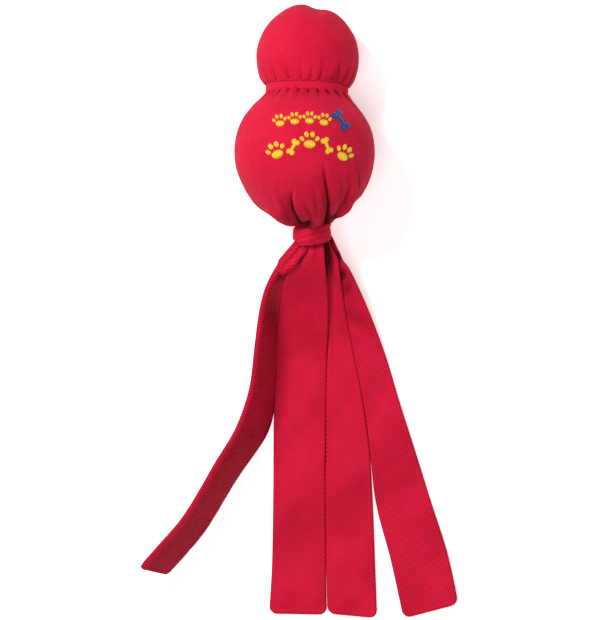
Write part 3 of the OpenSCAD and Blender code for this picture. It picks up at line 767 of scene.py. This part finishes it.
def tail_painted_shade(number, x, done, across):
    """Painted shade on a tail's cloth: between the tails near the wrap, in its soft bends, on tail 1's face turned
    from the light, and along its edges.
    """
    bend = np.sin(done / 8.6 + x / 9 + number * 1.7) + 0.8 * np.sin(done / 17 - x / 22 + number)
    # Painted shade in the soft bends, where the lying tail turns from the light
    dark = 0.16 * smooth(0.5, -1.6, bend) * smooth(50, 80, done)
    if number == 1:
        dark = dark * 0.4 + 0.95 * smooth(31, 21, done) * smooth(0.12, 0.4, across)
        dark += 0.1 * smooth(0.05, 0.12, across) + 0.3 * hump(done, 46, 8) * smooth(0.1, 0.3, across)
        dark += 0.2 * smooth(95, 125, done) * smooth(0.05, 0.12, across)
        dark += 0.7 * smooth(0.9, 1.0, across) * hump(done, 96, 26)
    if number == 2:
        dark += 0.45 * smooth(9, 4, done) + 0.3 * hump(across, 0.62, 0.06) * smooth(20, 8, done)
    if number == 3:
        dark += 0.9 * smooth(29, 14, done) * smooth(0.85, 0.4, across) + 0.45 * smooth(16, 8, done)
        dark += 0.22 * smooth(60, 20, done) * smooth(0.4, 0.0, across)
    if number == 4:
        dark += 0.95 * smooth(46, 22, done) * smooth(0.9, 0.3, across) * (0.7 + 0.3 * np.sin(done / 1.7 + x / 2))
        dark += 0.35 * hump(done - 0.5 * x, 46, 4) * smooth(0.95, 0.4, across)
    # Painted shade: a thin dark line along both long edges, where the serrated edge casts shade
    return dark + 0.28 * smooth(0.03, 0.0, np.minimum(across, 1 - across))


def tail_part(number, name, start, stop, rows, columns, material):
    bm = bmesh.new()
    bmesh.ops.create_grid(bm, x_segments=columns, y_segments=rows, size=1)
    made = bmesh.ops.extrude_face_region(bm, geom=bm.faces[:], use_keep_orig=True)
    for v in made["geom"]:
        if isinstance(v, bmesh.types.BMVert):
            v.co.z = 1
    bm.verts.index_update()
    flat = positions(bm)
    across = flat[:, 0] * 0.5 + 0.5
    # Columns are closer together at the edges
    across = 0.5 - 0.5 * np.cos(across * math.pi) * (0.55 + 0.45 * np.abs(np.cos(across * math.pi)))
    down = flat[:, 1] * 0.5 + 0.5
    if stop == 1:
        down = 1 - (1 - down) ** 1.35
    u = start + (stop - start) * down
    points, x, done = tail_surface(number, u, across, flat[:, 2] * 2 - 1)
    bmesh.ops.recalc_face_normals(bm, faces=bm.faces)
    put(bm.verts, points)
    bmesh.ops.recalc_face_normals(bm, faces=bm.faces)
    map_cloth(bm, x * np.where(flat[:, 2] > 0.5, 1, -1), -done)
    painted_shade = tail_painted_shade(number, x, done, across)
    for e in bm.edges:
        if len({f for f in e.link_faces}) == 2:
            a, b = e.link_faces
            if a.normal.length and b.normal.length and a.normal.angle(b.normal, 0) > 1.2:
                e.smooth = False
    return piece(name, bm, material, painted_shade=painted_shade)


def make_tail(number):
    way = TAILS[number]
    material = RED_TWILL_EDGE_ON if number == 1 else RED_TWILL
    root, tip, fold = f"tail_{number}_root", f"tail_{number}_tip", None
    for joint in frame["record"]["behaviour"]["joints"]:
        if joint["name"] == f"tail_{number}_fold":
            fold = np.array(joint["pos_m"]) / MM
    upper = tail_part(number, f"tail_{number}_upper_cloth", 0, JOIN, 110, 30, material)
    lower = tail_part(number, f"tail_{number}_lower_cloth", JOIN, 1, 120, 30, material)
    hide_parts(f"tail_{number}_upper")
    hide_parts(f"tail_{number}_lower")
    top = station(way, np.array([0.1]))[0]
    top = (top[:3] + top[3:]) / 2
    out = station(way, np.array([0.28]))[0]
    out = (out[:3] + out[3:]) / 2
    way_on = unit(out - top)
    begin = top - way_on * 5
    end = top + way_on * 13
    _, _, _, _, forward = frame_at(way, np.array([0.64]))
    forward = unit(forward[0] * [1, 1, 0])
    parts = (
        (upper, "neck", root, begin, end),
        (lower, root, tip, fold - forward * 11, fold + forward * 11),
    )
    stitches = (stitch_row(number, "upper", 0.22, JOIN - 0.004), stitch_row(number, "lower", JOIN + 0.004, 0.975))
    for (cloth, a, b, low, high), row in zip(parts, stitches):
        for obj in (cloth, row):
            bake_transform(obj)


def stitch_row(number, part, start, stop):
    """Small sunk stitches of red thread inside both long edges of a tail."""
    way = TAILS[number]
    total = down_length(way)[-1] * (stop - start)
    count = int(total / 3.6)
    bm = bmesh.new()
    corners, local, middle, edges = [], [], [], []
    for i in range(count):
        for from_right in (0, 1):
            made = bmesh.ops.create_uvsphere(bm, u_segments=6, v_segments=5, radius=1)
            corners += made["verts"]
            local += [v.co[:] for v in made["verts"]]
            middle += [start + (stop - start) * (i + 0.5) / count] * len(made["verts"])
            edges += [from_right] * len(made["verts"])
    local, u, edges = np.array(local), np.array(middle), np.array(edges)
    _, _, _, width, _ = frame_at(way, u)
    step = 1.15 * (stop - start) / total
    share = 2.7 / np.maximum(width, 9)
    share = np.where(edges == 1, 1 - share, share)
    points, _, _ = tail_surface(number, u + local[:, 2] * step, share + local[:, 0] * 0.26 / width, np.ones(len(u)))
    _, _, up, _, _ = frame_at(way, u)
    points += up * (local[:, 1] * 0.2 - 0.12)[:, None]
    put(corners, points)
    row = piece(f"tail_{number}_{part}_thread", bm, RED_THREAD)
    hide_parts(f"tail_{number}_{part}_stitching")
    return row


def make_tuck():
    """The puff of loose cloth that folds out from under the wrap on the left."""
    line = np.array([
        (0.4, -45.0, 30.6), (-2.9, -49.6, 31.4), (-7.2, -55, 30.6),
        (-10.4, -58.2, 29), (-11.9, -61.2, 27), (-12.2, -64.2, 25),
    ])
    fat = np.array([3.2, 3.6, 3.9, 3.7, 3.2, 1.5])
    bm = bmesh.new()
    bmesh.ops.create_uvsphere(bm, u_segments=90, v_segments=80, radius=1)
    bm.verts.index_update()
    d = positions(bm)
    t = (1 - d[:, 2]) / 2
    t = 0.5 - 0.5 * np.cos(t * math.pi) * 0.999
    t = np.clip(0.5 * t + 0.5 * (1 - d[:, 2]) / 2, 0, 1)
    at = np.linspace(0, 1, len(line))
    middle = np.stack([np.interp(t, at, line[:, k]) for k in range(3)], 1)
    ahead = np.stack([np.interp(np.clip(t + 0.08, 0, 1), at, line[:, k]) for k in range(3)], 1)
    back = np.stack([np.interp(np.clip(t - 0.08, 0, 1), at, line[:, k]) for k in range(3)], 1)
    forward = unit(ahead - back)
    side = unit(np.cross(forward, [0, 0, 1.0]))
    lift = np.cross(side, forward)
    ring = np.sqrt(np.clip(1 - d[:, 2] ** 2, 0, 1))
    body = np.minimum(1, ring * 1.5)
    turn = np.arctan2(d[:, 1], d[:, 0])
    r = np.interp(t, at, fat) * body * (1 + 0.45 * smooth(0.2, -0.9, np.cos(turn)))
    # Two creases run down it, deepest at the wrap
    first, second = hump(turn, 0.8, 0.26) * smooth(0.95, 0.2, t), hump(turn, 1.7, 0.24) * smooth(0.9, 0.3, t)
    r = r * (1 - 0.4 * first - 0.32 * second)
    r = r * (1 + 0.05 * np.sin(5 * turn + 6 * t))
    points = middle + side * (np.cos(turn) * r)[:, None] + lift * (np.sin(turn) * r * 0.72)[:, None]
    put(bm.verts, points)
    map_cloth(bm, turn * 5, -t * 22, 2 * math.pi * 5)
    bmesh.ops.recalc_face_normals(bm, faces=bm.faces)
    # Painted shade in its two creases, at both ends and down two of its sides
    painted_shade = 0.35 * hump(turn, 0.8, 0.2) * smooth(0.95, 0.3, t) + 0.35 * hump(turn, 1.7, 0.2) * smooth(0.9, 0.4, t)
    painted_shade += 0.6 * smooth(0.95, 1.0, t) + 1.2 * hump(np.abs(turn), 2.75, 0.35) * hump(t, 0.3, 0.1)
    painted_shade += 0.5 * hump(turn, -0.1, 0.5) + 0.5 * smooth(0.25, 0.1, t)
    tuck = piece("tail_1_tuck_twill", bm, RED_TWILL, painted_shade=painted_shade)
    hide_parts("tail_1_tuck")
    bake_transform(tuck)


# ---- embroidery ----

def on_top(cover, xy, height):
    """The place on top of the large ball's cover over a point in plan, raised by height."""
    out = []
    for (x, y), h in zip(xy, height):
        hit, normal, _, _ = cover.ray_cast(Vector((x, y, 100)) * MM, Vector((0, 0, -1)))
        out.append(np.array(hit) / MM + np.array(normal) * h)
    return np.array(out)


def satin(cover, bm, at, rx, ry, turn, stitch_lean):
    """Fills an oval with a row of raised threads that all lean one way."""
    turn, lean = math.radians(turn), math.radians(stitch_lean)
    along = np.array([math.cos(lean), math.sin(lean)])
    step = np.array([-along[1], along[0]])
    pitch = 0.36
    a, b = np.array([math.cos(turn), math.sin(turn)]), np.array([-math.sin(turn), math.cos(turn)])
    # The oval's reach square to the threads, and the chord at each one
    reach = math.hypot(rx * (a @ step), ry * (b @ step))
    count = max(3, int(2 * reach / pitch))
    for i in range(count):
        w = -reach + 2 * reach * (i + 0.5) / count
        pa, pb = (a @ step) * w, (b @ step) * w
        da, db = a @ along, b @ along
        qa = (da / rx) ** 2 + (db / ry) ** 2
        qb = 2 * (pa * da / rx ** 2 + pb * db / ry ** 2)
        qc = (pa / rx) ** 2 + (pb / ry) ** 2 - 1
        inside = qb * qb - 4 * qa * qc
        if inside <= 0:
            continue
        lo, hi = (-qb - math.sqrt(inside)) / (2 * qa), (-qb + math.sqrt(inside)) / (2 * qa)
        mid, long = (lo + hi) / 2, (hi - lo) / 2 + 0.12
        made = bmesh.ops.create_uvsphere(bm, u_segments=6, v_segments=8, radius=1)
        d = np.array([v.co[:] for v in made["verts"]])
        x = d[:, 2]
        xy = np.asarray(at) + step * w + along * mid + np.outer(x * long, along) + np.outer(d[:, 0] * 0.21, step)
        crown = 0.55 * np.sqrt(np.clip(1 - x * x, 0, 1)) * min(1, long / 1.2)
        put(made["verts"], on_top(cover, xy, crown + d[:, 1] * 0.2))


def paw(cover, bm, at, size, turn, lean):
    # Each pad's middle, its two radii and its own turn
    pads = (
        (0, -1.6, 3.1, 2.4, 0), (-4.1, 1.3, 1.1, 1.6, 28), (-1.6, 3.6, 1.2, 1.8, 8),
        (1.6, 3.6, 1.2, 1.8, -8), (4.1, 1.3, 1.1, 1.6, -28),
    )
    c, s = math.cos(math.radians(turn)), math.sin(math.radians(turn))
    for x, y, rx, ry, own in pads:
        place = (at[0] + size * (x * c - y * s), at[1] + size * (x * s + y * c))
        satin(cover, bm, place, size * rx, size * ry, turn + own, lean + own * 0.5)


def bone(cover, bm, at, size, turn, lean):
    c, s = math.cos(math.radians(turn)), math.sin(math.radians(turn))
    satin(cover, bm, at, 4.6 * size, 1.15 * size, turn, lean)
    for x in (-3.6, 3.6):
        for y in (-1.25, 1.25):
            place = (at[0] + size * (x * c - y * s), at[1] + size * (x * s + y * c))
            satin(cover, bm, place, 1.6 * size, 1.6 * size, turn, lean)


def make_embroidery(body_cover):
    cover = BVHTree.FromObject(body_cover, bpy.context.evaluated_depsgraph_get())
    bm = bmesh.new()
    for at, size, turn in (
        ((-12.6, 14.9), 0.7, 8), ((-5, 15.9), 0.7, 3), ((2.6, 16.2), 0.7, -2), ((10.1, 15.4), 0.7, -8),
        ((-14.4, -0.6), 0.95, 24), ((2.6, 4.6), 0.95, 0), ((20.2, -1.8), 0.9, -30),
    ):
        paw(cover, bm, at, size, turn, turn + 78)
    for at, size, turn in (((-5.8, 1.6), 0.8, 62), ((11.6, 2.4), 0.8, -66)):
        bone(cover, bm, at, size, turn, turn + 74)
    yellow = piece("paw_satin_stitch", bm, YELLOW_THREAD)
    bm = bmesh.new()
    bone(cover, bm, (18.7, 15.4), 1.05, -56, 20)
    blue = piece("bone_satin_stitch", bm, BLUE_THREAD)
    for obj, node in ((yellow, "paw_embroidery"), (blue, "bone_embroidery")):
        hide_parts(node)
        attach(obj, "body")


# ---- the toy ----

body_cover = make_body_cover()
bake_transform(body_cover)
make_head_cover()
make_band()
make_wrap()
for number in TAILS:
    make_tail(number)
make_tuck()
make_embroidery(body_cover)

INNER = {
    "core_half_a": grainy("black_core_rubber", (0.012, 0.012, 0.013), (0.035, 0.034, 0.036), 900, 0.6),
    "felt_panel_a": grainy(
        "yellow_felt", (0.42, 0.55, 0.04), (0.72, 0.83, 0.12), 1900, 0.95, 0.9, sheen=0.6, gloss=0.1,
    ),
    "felt_seam": grainy("white_seam_rubber", (0.72, 0.72, 0.66), (0.86, 0.86, 0.82), 700, 0.7),
    "waist_elastic": grainy("red_elastic", (0.2, 0.003, 0.012), (0.4, 0.006, 0.025), 2400, 0.7, 0.6, gloss=0.1),
    "squeaker_ball": grainy("orange_ball_rubber", (0.68, 0.17, 0.02), (0.84, 0.28, 0.04), 300, 0.45, 0.1),
    "squeaker_cup": grainy("white_squeaker_plastic", (0.8, 0.8, 0.78), (0.9, 0.9, 0.88), 260, 0.28, 0.05),
    "squeaker_reed": grainy("brass_reed", (0.5, 0.34, 0.08), (0.68, 0.48, 0.14), 1200, 0.3, 0.15),
    "neck_rope": grainy(
        "gathered_red_cloth", (0.4, 0.01, 0.035), (0.7, 0.025, 0.085), 1500, 0.85, 0.6, sheen=0.2, gloss=0.2,
    ),
    "neck_binding": grainy("binding_cord", (0.66, 0.64, 0.58), (0.85, 0.83, 0.78), 2200, 0.75, 0.6),
    "waist_stitching": RED_THREAD,
}
INNER["core_half_b"] = INNER["core_half_a"]
INNER["felt_panel_b"] = INNER["felt_panel_a"]
INNER["squeaker_plug"] = INNER["squeaker_cup"]
INNER["neck_wrap_stitching"] = INNER["waist_stitching"]
INNER["squeaker_reed"].node_tree.nodes["Principled BSDF"].inputs["Metallic"].default_value = 1.0
for node, material in INNER.items():
    mesh = frame["nodes"][node].data
    mesh.materials.clear()
    mesh.materials.append(material)
